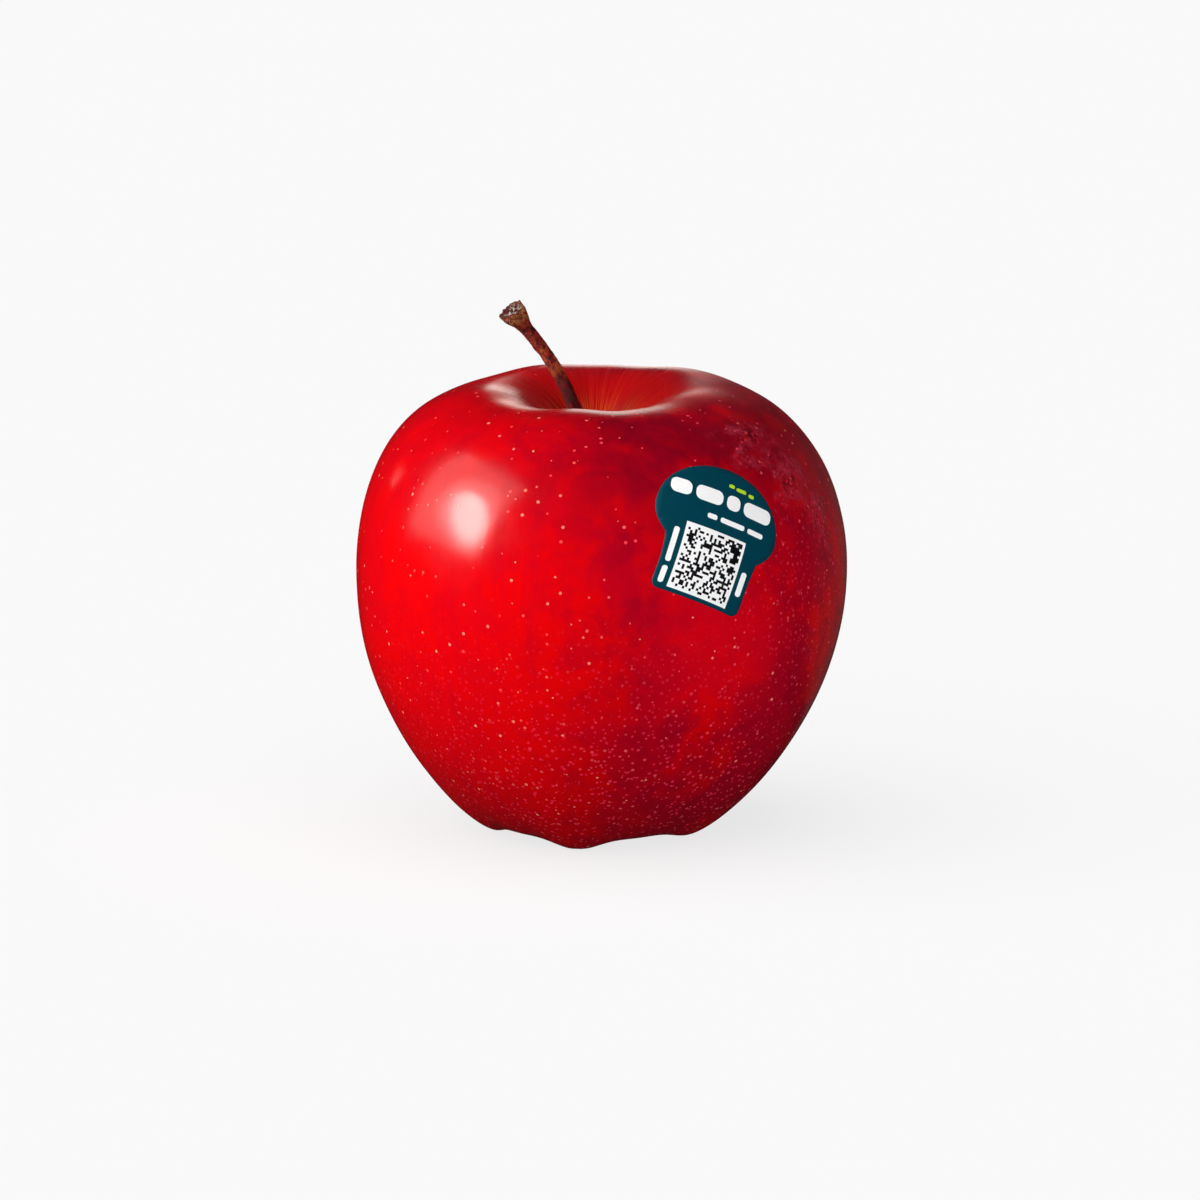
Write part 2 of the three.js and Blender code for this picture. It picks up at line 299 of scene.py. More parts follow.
def outline_spans(azimuth):
    """The outline at each azimuth: cavity, shoulder, flank and basin, each four (radius, height)s."""
    lobe = lobe_share(azimuth)
    girth = FRUIT_RADIUS + GIRTH_OFFSET * np.cos(azimuth)
    lean = SHOULDER_LEAN[0] * np.cos(azimuth) + SHOULDER_LEAN[1] * np.sin(azimuth)
    crest = SHOULDER_HEIGHT + lean - SHOULDER_RIB * (1 - lobe)
    foot = LOBE_RADIUS + lobe_sum(azimuth, LOBE_REACH)
    base = GROOVE_DEPTH * (1 - lobe) + lobe_sum(azimuth, LOBE_LIFT) - FLAT_SPOT_DEPTH
    socket = STALK_SOCKET["radius"]
    cavity_width = CREST_RADIUS - socket
    cavity_side = socket + CAVITY_FULLNESS["across"] * cavity_width
    points = [
        (socket, CAVITY_FLOOR),
        (cavity_side, CAVITY_FLOOR + CAVITY_FULLNESS["up"] * CAVITY_DEPTH),
        (CREST_RADIUS - CAVITY_FULLNESS["crest"] * cavity_width, crest),
        (CREST_RADIUS, crest),
        (CREST_RADIUS + SHOULDER_FULLNESS["across"] * (girth - CREST_RADIUS), crest),
        (girth, GIRTH_HEIGHT + SHOULDER_FULLNESS["up"] * (crest - GIRTH_HEIGHT)),
        (girth, GIRTH_HEIGHT),
        (girth, GIRTH_HEIGHT - FLANK_FULLNESS["down"] * (GIRTH_HEIGHT - base)),
        (foot + FLANK_FULLNESS["across"] * (girth - foot), base),
        (foot, base),
        (foot - BASIN_FULLNESS["across"] * (foot - BASIN_MOUTH), base),
        (BASIN_MOUTH, BASIN_DEPTH - BASIN_FULLNESS["up"] * BASIN_DEPTH),
        (BASIN_MOUTH, BASIN_DEPTH),
    ]
    return [points[k : k + 4] for k in (0, 3, 6, 9)]


def bezier(controls, t):
    """Points of a cubic Bezier curve whose control values may be arrays over the azimuths."""
    a, b, c, d = controls
    s = 1 - t
    return s**3 * a + 3 * s**2 * t * b + 3 * s * t**2 * c + t**3 * d


def fruit_surface(azimuth):
    """Rows of radius and height from stalk to calyx, each row's span, and its share of that span."""
    spans = outline_spans(azimuth)
    rows = []
    for span, count in enumerate(SPAN_ROWS):
        rows += [(span, i / count) for i in range(min(span, 1), count + 1)]
    radius = [bezier([c[0] for c in spans[span]], t) + 0 * azimuth for span, t in rows]
    height = [bezier([c[1] for c in spans[span]], t) + 0 * azimuth for span, t in rows]
    return np.array(radius), np.array(height), *np.array(rows).T


def grid_normals(grid):
    """Outward unit normals of a grid of points whose columns close on themselves."""
    down = np.gradient(grid, axis=0)
    across = (np.roll(grid, -1, axis=1) - np.roll(grid, 1, axis=1)) / 2
    return unit(np.cross(down, across))


def relief(grid, azimuth, cavity, basin, height):
    """How far the fine relief lifts each point of the fruit, in millimetres."""
    around = round_axis(azimuth, 1, 0 * height)
    body = smooth(height, 0.4, 9) * (1 - cavity) * (1 - basin)
    lift = np.zeros_like(height)
    for width, amount in SWELLS:
        lift += amount * rough(grid, width, 3.1) * body
    lift += FLANK_RIB * (lobe_share(azimuth) - 0.375) * smooth(height, 6, 30) * (1 - cavity)
    furrow = rough(around * 7 + [0, 0, 4], 0.55) + 0.6 * rough(around * 7 + [0, 0, 9], 0.24)
    lift += CAVITY_FURROW * furrow * smooth(cavity, 0.02, 0.5)
    pleat = rough(around * 3 + [0, 0, 2], 0.5)
    lift += BASIN_PLEAT * pleat * smooth(basin, 0.1, 0.9)
    return lift


def axis_in_frame(grid):
    """Where the fruit's axis stands in the frame: the frame's origin is the middle of its box instead."""
    flat = grid[..., :2].reshape(-1, 2)
    box_low, box_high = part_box("fruit")
    cad_middle = np.array((box_low + box_high) / 2)[:2] / MM
    return np.append(cad_middle - (flat.min(axis=0) + flat.max(axis=0)) / 2, 0)


def build_fruit(material):
    """The fruit's skin: the CAD outline in fine rows, with relief, and snug sockets at both ends."""
    azimuth = FRONT_LOBE + np.arange(SIDES) * TURN / SIDES
    radius, height, span, share = fruit_surface(azimuth)
    cavity = np.where(span == 0, 1 - share, 0)[:, None] + 0 * azimuth
    basin = np.where(span == 3, share, 0)[:, None] + 0 * azimuth
    grid = round_axis(azimuth, radius, height)
    axis = axis_in_frame(grid)
    above_ground = np.clip(height, 0, None)
    grid = grid + grid_normals(grid) * relief(grid, azimuth, cavity, basin, above_ground)[..., None]
    grid[..., 2] = np.clip(grid[..., 2], 0, None)

    stalk_floor = CAVITY_FLOOR - STALK_SOCKET["depth"]
    tuft_ceiling = BASIN_DEPTH + TUFT_SOCKET["depth"]
    stalk_hole, tuft_hole = STALK_SOCKET["radius"], TUFT_SOCKET["radius"]
    low_z = [[BASIN_DEPTH], [tuft_ceiling], [tuft_ceiling]]
    top = round_axis(azimuth, [[PINHOLE], [stalk_hole]], stalk_floor)
    low = round_axis(azimuth, [[tuft_hole], [tuft_hole], [PINHOLE]], low_z)
    grid = np.concatenate([top, grid, low])
    cavity = np.concatenate([np.ones((2, SIDES)), cavity, np.zeros((3, SIDES))])
    basin = np.concatenate([np.zeros((2, SIDES)), basin, np.ones((3, SIDES))])

    points, faces = closed_rings(grid[:, ::-1] + axis)
    fruit = make_piece("fruit_skin", points, faces, material, "fruit")
    run = run_along(grid[:, 0])
    run = run / run[-1]
    flow = round_axis(azimuth, 1, run[:, None])[:, ::-1]
    add_attribute(fruit, "flow", np.vstack([flow.reshape(-1, 3), (0, 0, 0), (0, 0, 1)]), "FLOAT_VECTOR")
    add_attribute(fruit, "cavity", np.append(cavity[:, ::-1].ravel(), [1, 0]))
    add_attribute(fruit, "basin", np.append(basin[:, ::-1].ravel(), [0, 1]))
    unwrap_rings(fruit, len(grid), SIDES, run)
    return fruit, axis


def unwrap_rings(piece, rows, sides, run):
    """A UV map with one column for each side and the rows down it, so that the bake wastes nothing."""
    mesh = piece.data
    uv = mesh.uv_layers.new(name="OFBake")
    ends = {rows * sides: 0.0, rows * sides + 1: 1.0}
    row_at = 0.5 * np.linspace(0, 1, rows) + 0.5 * run
    for polygon in mesh.polygons:
        corners = [mesh.loops[k].vertex_index for k in polygon.loop_indices]
        columns = [c % sides for c in corners if c not in ends]
        wraps = max(columns) - min(columns) > 1
        for k, corner in zip(polygon.loop_indices, corners):
            if corner in ends:
                across = sum(c + sides if wraps and c == 0 else c for c in columns) / len(columns)
                down = ends[corner]
            else:
                column = corner % sides
                across = column + sides if wraps and column == 0 else column
                down = row_at[corner // sides]
            uv.data[k].uv = (across / sides, 1 - down)


# ---- Stalk


def stalk_route():
    """Evenly spaced points up the stalk's middle, and its length."""
    seat = (0, 0, CAVITY_FLOOR - STALK_SOCKET["depth"] + STALK_SEAT_GAP)
    bend = [
        (-STALK_REACH * reach, STALK_SWAY * math.sin(rise * math.pi), CAVITY_FLOOR + STALK_RISE * rise)
        for reach, rise in STALK_BEND
    ]
    route = smooth_route([seat, *bend], STALK_ROWS)
    return route, np.linalg.norm(np.diff(route, axis=0), axis=1).sum()


def stalk_swell(share, to_end, length, turn):
    """Each point's share of the plain radius, with flutes, grain and a bud scar, and how dented it is."""
    along = share[:, None] * length
    circle = round_axis(turn, 1, 0 * along)
    upwards = np.array([0, 0, 1]) * along[..., None]
    twist = turn[None] + STALK_TWIST * along
    off_groove = turn_between(STALK_GROOVE["azimuth"], twist)
    groove = np.exp(-((off_groove / STALK_GROOVE["width"]) ** 2))
    groove = groove * smooth(STALK_GROOVE["end"] - share, 0, 0.4)[:, None]
    flutes = 0.035 * np.cos(6 * twist) * (1 - to_end)[:, None]
    grain = 0.08 * rough(circle * 3 + upwards / 1.5, 1.0) + 0.06 * rough(circle * 6 + upwards / 0.6, 1.0)
    lumps = (0.07 + 0.2 * to_end)[:, None] * rough(circle * 2 + upwards / 1.6, 1.0, 5.0)
    off_scar = (share - STALK_BUD_SCAR["share"]) * length / STALK_BUD_SCAR["reach"]
    scar = STALK_BUD_SCAR["height"] * np.exp(-(off_scar**2))[:, None]
    scar = scar * smooth(np.cos(turn - STALK_BUD_SCAR["azimuth"]), 0.2, 1)[None]
    # For the bark's painted shade: how deep each point lies in the groove or between flutes.
    crease_shade = groove + np.clip(-flutes * 9, 0, 1) * 0.5
    return 1 + flutes + grain + lumps + scar - STALK_GROOVE["depth"] * groove, crease_shade


def build_stalk(axis, material):
    """The stalk: a grooved, uneven shaft that flares into the knob where it broke off the spur."""
    route, length = stalk_route()
    share = np.linspace(0, 1, STALK_ROWS)
    to_base = smooth(share * length, 0, 6)
    to_end = smooth((share - 1) * length, -STALK_KNOB_LENGTH, 0)
    shaft = STALK_BASE_RADIUS + (STALK_RADIUS - STALK_BASE_RADIUS) * to_base
    radius = shaft + (STALK_END_RADIUS - shaft) * to_end**1.3
    face = unit(np.array(STALK_END_FACE))
    forward = unit(tangents(route) * (1 - to_end)[:, None] + face * to_end[:, None])
    across = unit(np.array([0.0, 1.0, 0.0]) - forward * forward[:, 1:2])
    over = np.cross(forward, across)

    # The broken face's rings repeat the last one, smaller and lifted
    extra = len(BROKEN_SCALES)
    rows = np.minimum(np.arange(STALK_ROWS + extra), STALK_ROWS - 1)
    parts = (route, radius, forward, across, over, share, to_end)
    route, radius, forward, across, over, share, to_end = (part[rows] for part in parts)
    route[STALK_ROWS:] += face * np.array(BROKEN_LIFTS)[:, None]
    radius[STALK_ROWS:] *= BROKEN_SCALES
    scar = np.append(np.zeros(STALK_ROWS), np.linspace(0.45, 1, extra))

    turn = np.arange(STALK_SIDES) * TURN / STALK_SIDES
    swell, crease_shade = stalk_swell(share, to_end, length, turn)
    rings = route[:, None] + spokes(across, over, turn) * (radius[:, None] * swell)[..., None]
    ragged = (0.5 * rough(rings, 0.9, 1.7) + 0.3 * rough(rings, 0.45)) * smooth(share, 0.975, 1.0)[:, None]
    rings = rings + forward[:, None] * ragged[..., None]

    points, faces = closed_rings(rings + axis)
    stalk = make_piece("stalk_bark", points, faces, material, "stalk")
    ends = (0.0, 1.0)
    add_attribute(stalk, "along", np.append((share[:, None] + 0 * turn).ravel(), ends))
    add_attribute(stalk, "scar", np.append((scar[:, None] + 0 * turn).ravel(), ends))
    add_attribute(stalk, "groove", np.append(crease_shade.ravel(), (0.0, 0.0)))


# ---- Calyx


def build_sepal(index, axis, material):
    """One dried sepal: a cupped, crinkled leaf that narrows to a curled tip."""
    azimuth = FRONT_LOBE + (index + 0.5) * TURN / LOBE_COUNT
    outwards = np.array([math.cos(azimuth), math.sin(azimuth), 0])
    sideways = np.array([-math.sin(azimuth), math.cos(azimuth), 0])
    root = BASIN_DEPTH - 0.1
    drop = root - SEPAL_TIP_HEIGHT
    bends = []
    for out, down in SEPAL_BEND:
        bends.append(outwards * (SEPAL_RING + SEPAL_FLARE * out) + [0, 0, root - drop * down])
    rows, columns = 30, 17
    route = smooth_route(bends, rows)
    forward = tangents(route)
    normal = np.cross(sideways, forward)
    u = np.linspace(0, 1, rows)[:, None]
    w = np.linspace(-1, 1, columns)[None]
    half = (1.75 * (1 - u) ** 0.55 * (0.72 + 0.5 * u) + 0.08) * (1 + 0 * w)
    cup = 0.34 * (w**2 - 0.3) * half * (0.5 + 0.9 * u)
    middle = route[:, None] + sideways * (half * w)[..., None]
    crinkle = 0.24 * rough(middle, 1.1, index * 7.3) * smooth(u, 0.0, 0.4)
    vein = 0.07 * np.cos(w * 9) * (1 - u)
    middle = middle - normal[:, None] * (cup + crinkle + vein)[..., None]
    depth = SEPAL_THICKNESS / 2 * (1 - 0.6 * np.abs(w) ** 3) * (1 - 0.55 * u)
    face = middle - normal[:, None] * depth[..., None]
    back = middle + normal[:, None] * depth[..., None]
    rings = np.concatenate([face, back[:, ::-1]], axis=1)
    points, faces = closed_rings(rings + axis)
    name = f"sepal_{index + 1}"
    sepal = make_piece(f"{name}_leaf", points, faces, material, name)
    edge = np.concatenate([np.abs(w) + 0 * u, np.abs(w[:, ::-1]) + 0 * u], axis=1)
    add_attribute(sepal, "tip", np.append((u + 0 * edge).ravel(), (0.0, 1.0)))
    add_attribute(sepal, "edge", np.append(edge.ravel(), (0.0, 0.0)))


def filament(index, random):
    """One bent stamen with a shrivelled anther: its rings, and each ring's share of the length."""
    azimuth = index * TURN * GOLDEN_SHARE
    spread = FILAMENT_SPREAD * math.sqrt((index + 0.5) / FILAMENTS)
    top = BASIN_DEPTH + TUFT_SOCKET["depth"] - 0.2
    start = np.array([spread * math.cos(azimuth), spread * math.sin(azimuth), top])
    length = random.uniform(3.0, 4.3)
    lean = random.uniform(-0.45, 0.45, 2)
    bends = [start + [lean[0] * t**2, lean[1] * t**2, -length * t] for t in (0, 0.3, 0.65, 1)]
    bends[2] = bends[2] + np.append(random.uniform(-0.2, 0.2, 2), 0)
    route = smooth_route(bends, FILAMENT_ROWS)
    share = np.linspace(0, 1, FILAMENT_ROWS)
    anther = np.exp(-(((share - 0.9) / 0.07) ** 2)) * random.uniform(0.16, 0.26)
    radius = FILAMENT_RADIUS * (1.2 - 0.5 * share) + anther
    radius[-1] *= 0.3
    forward = tangents(route)
    across = unit(np.cross(forward, [0.3, 1, 0.2]))
    turn = np.arange(FILAMENT_SIDES) * TURN / FILAMENT_SIDES
    rings = route[:, None] + spokes(across, np.cross(forward, across), turn) * radius[:, None, None]
    return rings + 0.05 * rough(rings, 0.35, index * 3.7)[..., None], share


def build_tuft(axis, material):
    """The dried stamens between the sepals, as one piece."""
    random = np.random.default_rng(7)
    points, faces, tips = [], [], []
    for index in range(FILAMENTS):
        rings, share = filament(index, random)
        own_points, own_faces = closed_rings(rings + axis)
        first = len(points)
        points.extend(own_points)
        faces += [tuple(first + k for k in face) for face in own_faces]
        tips.extend([*np.repeat(share, FILAMENT_SIDES), 0.0, 1.0])
    tuft = make_piece("stamen_filaments", points, faces, material, "stamen_tuft")
    add_attribute(tuft, "tip", tips)
    add_attribute(tuft, "edge", np.zeros(len(tips)))


# ---- Sticker


def arc(middle, half_x, half_y, start, end, steps):
    """Points on an ellipse from one angle to another, the last one left out."""
    turn = np.linspace(start, end, steps, endpoint=False)
    return np.column_stack([middle[0] + half_x * np.cos(turn), middle[1] + half_y * np.sin(turn)])


def quad_curve(a, b, c, steps):
    """Points of a quadratic curve, the last one left out."""
    t = np.linspace(0, 1, steps, endpoint=False)[:, None]
    a, b, c = (np.array(p, float) for p in (a, b, c))
    return (1 - t) ** 2 * a + 2 * (1 - t) * t * b + t**2 * c


def sticker_outline():
    """The sticker's outline on the flat, anticlockwise, with the head's middle at (0, 0)."""
    half, above, below = STICKER_HEAD.values()
    tail, drop, corner = STICKER_TAIL.values()
    notch = (half * math.cos(STICKER_NOTCH), -below * math.sin(STICKER_NOTCH))
    waist = (notch[1] - drop) / 2
    right = [
        np.linspace((0, -drop), (tail - corner, -drop), 12, endpoint=False),
        quad_curve((tail - corner, -drop), (tail, -drop), (tail, corner - drop), 8),
        np.linspace((tail, corner - drop), (tail, waist), 6, endpoint=False),
        quad_curve((tail, waist), (tail, (waist + notch[1]) / 2), notch, 8),
        arc((0, 0), half, below, -STICKER_NOTCH, 0, 16),
        arc((0, 0), half, above, 0, math.pi / 2, 30),
    ]
    right = np.vstack([*right, [[0, above]]])
    left = right[1:-1][::-1] * [-1, 1]
    return np.vstack([right, left])


def bar_row(left, widths, gap, y, half_height):
    """Plain white bars side by side."""
    bars = []
    for width in widths:
        bars.append(((left + width / 2, y), (width / 2, half_height), "white"))
        left += width + gap
    return bars


def print_bars():
    """The plain bars of the sticker's print: middle, half sizes and ink of each."""
    bars = bar_row(-8.9, (3.4, 4.6, 2.4, 5.2), 0.7, 3.7, 1.25)
    bars += bar_row(-2.3, (1.7, 4.4, 3.0), 0.6, 0.35, 0.42)
    low = -12.0
    for height in (2.6, 5.6):
        bars.append(((-6.55, low + height / 2), (0.45, height / 2), "white"))
        low += height + 0.7
    bars.append(((6.55, -8.0), (0.5, 1.9), "white"))
    for x, width in ((1.0, 0.5), (2.7, 0.9), (4.6, 0.5)):
        bars.append(((x, 6.6 - 0.12 * x), (width, 0.32), "lime"))
    return bars


def bar_outline(bar):
    """A rounded bar's outline, anticlockwise."""
    (x, y), (half_x, half_y), _ = bar
    corner = min(half_x, half_y) * 0.8
    sides = []
    for sign_x, sign_y, start in ((1, -1, -0.5), (1, 1, 0), (-1, 1, 0.5), (-1, -1, 1)):
        middle = (x + sign_x * (half_x - corner), y + sign_y * (half_y - corner))
        end = (start + 0.5) * math.pi
        sides.append(arc(middle, corner, corner, start * math.pi, end, BAR_CORNER_STEPS))
        sides.append([[middle[0] + corner * math.cos(end), middle[1] + corner * math.sin(end)]])
    return np.vstack(sides)


def inside(outline, point):
    """Whether a point is inside a closed outline."""
    x, y = point
    a = outline
    b = np.roll(outline, -1, axis=0)
    crosses = (a[:, 1] > y) != (b[:, 1] > y)
    with np.errstate(divide="ignore", invalid="ignore"):
        at = a[:, 0] + (y - a[:, 1]) / (b[:, 1] - a[:, 1]) * (b[:, 0] - a[:, 0])
    return np.count_nonzero(crosses & (x < at)) % 2 == 1


def ink_at(point, bars, blocks):
    """The ink at a point of the flat sticker, as (white, black, lime) shares."""
    offset = np.asarray(point) - PANEL_MIDDLE
    if np.abs(offset).max() < PANEL_INNER:
        column, row = ((offset + PANEL_INNER) / (2 * PANEL_INNER) * PANEL_CELLS).astype(int)
        return INK["black" if blocks[row, column] else "white"]
    if np.abs(offset).max() < PANEL_HALF:
        return INK["white"]
    for bar, outline in bars:
        if inside(outline, point):
            return INK[bar[2]]
    return INK["none"]


def panel_border():
    """Points along the white panel's square edge."""
    side = np.linspace(-PANEL_HALF, PANEL_HALF, PANEL_CELLS, endpoint=False)
    low = np.column_stack([side, np.full(PANEL_CELLS, -PANEL_HALF)])
    high = low[:, ::-1] * [-1, 1]
    return np.array(PANEL_MIDDLE) + np.vstack([low, high, -low, -high])


def panel_grid():
    """The corners of the panel's cells, and the edges between them."""
    count = PANEL_CELLS + 1
    ticks = np.linspace(-PANEL_INNER, PANEL_INNER, count)
    corners = [(PANEL_MIDDLE[0] + x, PANEL_MIDDLE[1] + y) for y in ticks for x in ticks]
    edges = []
    for i in range(count):
        for j in range(PANEL_CELLS):
            edges += [(i * count + j, i * count + j + 1), (j * count + i, (j + 1) * count + i)]
    return corners, edges


def fill_points(outline):
    """Points spread over the sticker outside its panel, so that its triangles follow the skin."""
    xs, ys = (np.arange(*STICKER_FILL[axis], STICKER_FILL["step"]) for axis in "xy")
    points = np.array([(x, y) for x in xs for y in ys])
    away = np.abs(points - PANEL_MIDDLE).max(axis=1) > PANEL_HALF + 0.2
    return [p for p in points[away] if inside(outline * 0.97, p)]


def flat_sticker():
    """The flat sticker as triangles whose edges follow the print, and each triangle's ink.

    Chance alone says which cells of the white panel are black, so that the pattern says nothing.
    """
    outline = sticker_outline()
    bars = [(bar, bar_outline(bar)) for bar in print_bars()]
    points, edges = [], []
    for loop in (outline, *(loop for _, loop in bars), panel_border()):
        first, count = len(points), len(loop)
        points.extend(Vector(p) for p in loop)
        edges.extend((first + i, first + (i + 1) % count) for i in range(count))
    corners, cell_edges = panel_grid()
    first = len(points)
    edges.extend((first + a, first + b) for a, b in cell_edges)
    points.extend(Vector(p) for p in (*corners, *fill_points(outline)))
    found = delaunay_2d_cdt(points, edges, [], 1, 1e-5)
    flat = np.array([p[:] for p in found[0]])
    blocks = np.random.default_rng(41).random((PANEL_CELLS, PANEL_CELLS)) < 0.5
    triangles, inks = [], []
    for triangle in found[2]:
        centre = flat[list(triangle)].mean(axis=0)
        if inside(outline, centre):
            triangles.append(tuple(triangle))
            inks.append(ink_at(centre, bars, blocks))
    return flat, triangles, inks


def sticker_seat():
    """Where the sticker's head sits on the CAD fruit: point, normal, right and up."""
    outwards = Vector((math.cos(STICKER_AZIMUTH), math.sin(STICKER_AZIMUTH), 0))
    start = Vector(fruit_axis) + outwards * 2 * FRUIT_RADIUS
    start.z = SHOULDER_HEIGHT - STICKER_DROP
    point, normal, _, _ = surface_tree(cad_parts["fruit"]).ray_cast(start, -outwards)
    up = (Vector((0, 0, 1)) - normal * normal.z).normalized()
    turned = up * math.cos(STICKER_ROLL) + normal.cross(up) * math.sin(STICKER_ROLL)
    return point, normal, turned.cross(normal), turned


def rim_edges(triangles):
    """The edges that only one triangle has."""
    edges = [edge for a, b, c in triangles for edge in ((a, b), (b, c), (c, a))]
    known = set(edges)
    return [(a, b) for a, b in edges if (b, a) not in known]


def build_sticker(fruit, material):
    """A thin printed film laid on the fine skin: a face, a back and a thin edge."""
    flat, triangles, inks = flat_sticker()
    point, normal, right, up = sticker_seat()
    tree = surface_tree(fruit)
    outside = normal * FRUIT_RADIUS
    on_skin = [tree.ray_cast(point + right * x + up * y + outside, -normal)[0] for x, y in flat]
    lifts = (STICKER_LIFT + STICKER_THICKNESS, STICKER_LIFT)
    face, back = (np.array(on_skin) + np.array(normal) * lift for lift in lifts)
    count = len(flat)
    rim = rim_edges(triangles)
    faces = list(triangles)
    faces += [(count + c, count + b, count + a) for a, b, c in triangles]
    faces += [(b, a, count + a, count + b) for a, b in rim]
    inks += [INK["white"]] * len(triangles) + [INK["none"]] * len(rim)
    sticker = make_piece("sticker_film", np.vstack([face, back]), faces, material, "sticker")
    smooth_faces = [len(p.vertices) == 3 for p in sticker.data.polygons]
    sticker.data.polygons.foreach_set("use_smooth", smooth_faces)
    add_attribute(sticker, "ink", inks, "FLOAT_VECTOR", "FACE")


# ---- Materials


def rgb(red, green, blue):
    """A colour, in linear light."""
    return (red, green, blue, 1)


def grey(level):
    return rgb(level, level, level)


BRIGHT_RED = rgb(0.7, 0.0004, 0.001)
# Painted light: the brighter red of a lit patch on the cheek.
PAINTED_LIGHT_RED = rgb(0.9, 0.0006, 0.006)
WALL_RED = rgb(0.4, 0.001, 0.003)
CRIMSON = rgb(0.4, 0.0004, 0.012)
DARK_CRIMSON = rgb(0.27, 0.0004, 0.013)
# Painted shade: the dark red laid over the shoulder and the foot.
PAINTED_SHADE_WINE = rgb(0.15, 0.0005, 0.009)
DARK_WINE = rgb(0.09, 0.001, 0.005)
# Partly the scuff's own colour, partly a painted sheen.
SCUFF_AND_SHEEN_PINK = rgb(0.36, 0.022, 0.05)
ROSE = rgb(0.8, 0.05, 0.11)
# Painted highlight: the pale cream streaked over the cavity's lip.
PAINTED_HIGHLIGHT_CREAM = rgb(0.8, 0.3, 0.2)
ORANGE = rgb(0.72, 0.16, 0.03)
STRAW = rgb(0.42, 0.25, 0.06)
YELLOW_GREEN = rgb(0.5, 0.26, 0.05)
RUST = rgb(0.2, 0.09, 0.03)


class Surface:
    """A Principled material, the colour laid on it so far, and short ways to feed its sockets."""

    def __init__(self, name, colour, **fixed):
        self.material = bpy.data.materials.new(name)
        self.material.use_nodes = True
        self.tree = self.material.node_tree
        self.shader = self.tree.nodes["Principled BSDF"]
        for socket, value in fixed.items():
            self.shader.inputs[socket.replace("_", " ")].default_value = value
        self.here = self.node("TexCoord").outputs["Object"]  # the point's place in the frame, in metres
        self.set_colour(colour)

    def feed(self, socket, value):
        """Links a socket to another, or sets it to a constant."""
        if isinstance(value, bpy.types.NodeSocket):
            self.tree.links.new(value, socket)
        else:
            socket.default_value = value

    def set(self, socket, value):
        self.feed(self.shader.inputs[socket], value)

    def node(self, kind, **settings):
        node = self.tree.nodes.new("ShaderNode" + kind)
        for key, value in settings.items():
            setattr(node, key, value)
        return node

    def wire(self, node, inputs):
        """Feeds a node's sockets, each by its name or number, and gives its outputs."""
        for key, value in inputs.items():
            self.feed(node.inputs[key], value)
        return node.outputs

    def math(self, operation, a, b, clamp=False):
        return self.wire(self.node("Math", operation=operation, use_clamp=clamp), {0: a, 1: b})[0]

    def times(self, a, b):
        return self.math("MULTIPLY", a, b)

    def plus(self, a, b):
        return self.math("ADD", a, b)

    def step(self, value, low, high, to_low=0, to_high=1):
        """A soft step of a value, from to_low at low to to_high at high."""
        node = self.node("MapRange", interpolation_type="SMOOTHSTEP")
        inputs = {"Value": value, "From Min": low, "From Max": high, "To Min": to_low, "To Max": to_high}
        return self.wire(node, inputs)["Result"]

    def mix(self, share, under, over):
        return self.wire(self.node("Mix", data_type="RGBA"), {0: share, 6: under, 7: over})[2]

    def set_colour(self, colour):
        self.colour = colour
        self.set("Base Color", colour)

    def lay(self, share, over):
        """Mixes a share of a colour over what is there so far."""
        self.set_colour(self.mix(share, self.colour, over))

    def read(self, name, part="Fac"):
        return self.node("Attribute", attribute_name=name).outputs[part]

    def split(self, vector):
        """The three parts of a vector or a colour."""
        return self.wire(self.node("SeparateXYZ"), {0: vector})

    def vector(self, operation, a, b, output=0):
        return self.wire(self.node("VectorMath", operation=operation), {0: a, 1: b})[output]

    def away(self, point):
        """How far the place lies from a point."""
        return self.vector("DISTANCE", self.here, point, "Value")

    def noise(self, scale, detail, roughness, distortion=0, vector=None):
        """Noise over the place, or over another vector."""
        inputs = {"Scale": scale, "Detail": detail, "Roughness": roughness, "Distortion": distortion}
        inputs["Vector"] = self.here if vector is None else vector
        return self.wire(self.node("TexNoise"), inputs)["Fac"]

    def cells(self, vector, scale):
        """Distance to the nearest cell point, and that cell's random colour."""
        outputs = self.wire(self.node("TexVoronoi"), {"Vector": vector, "Scale": scale})
        return outputs["Distance"], outputs["Color"]

    def bump(self, height, distance, strength):
        inputs = {"Height": height, "Distance": distance, "Strength": strength}
        return self.wire(self.node("Bump"), inputs)["Normal"]


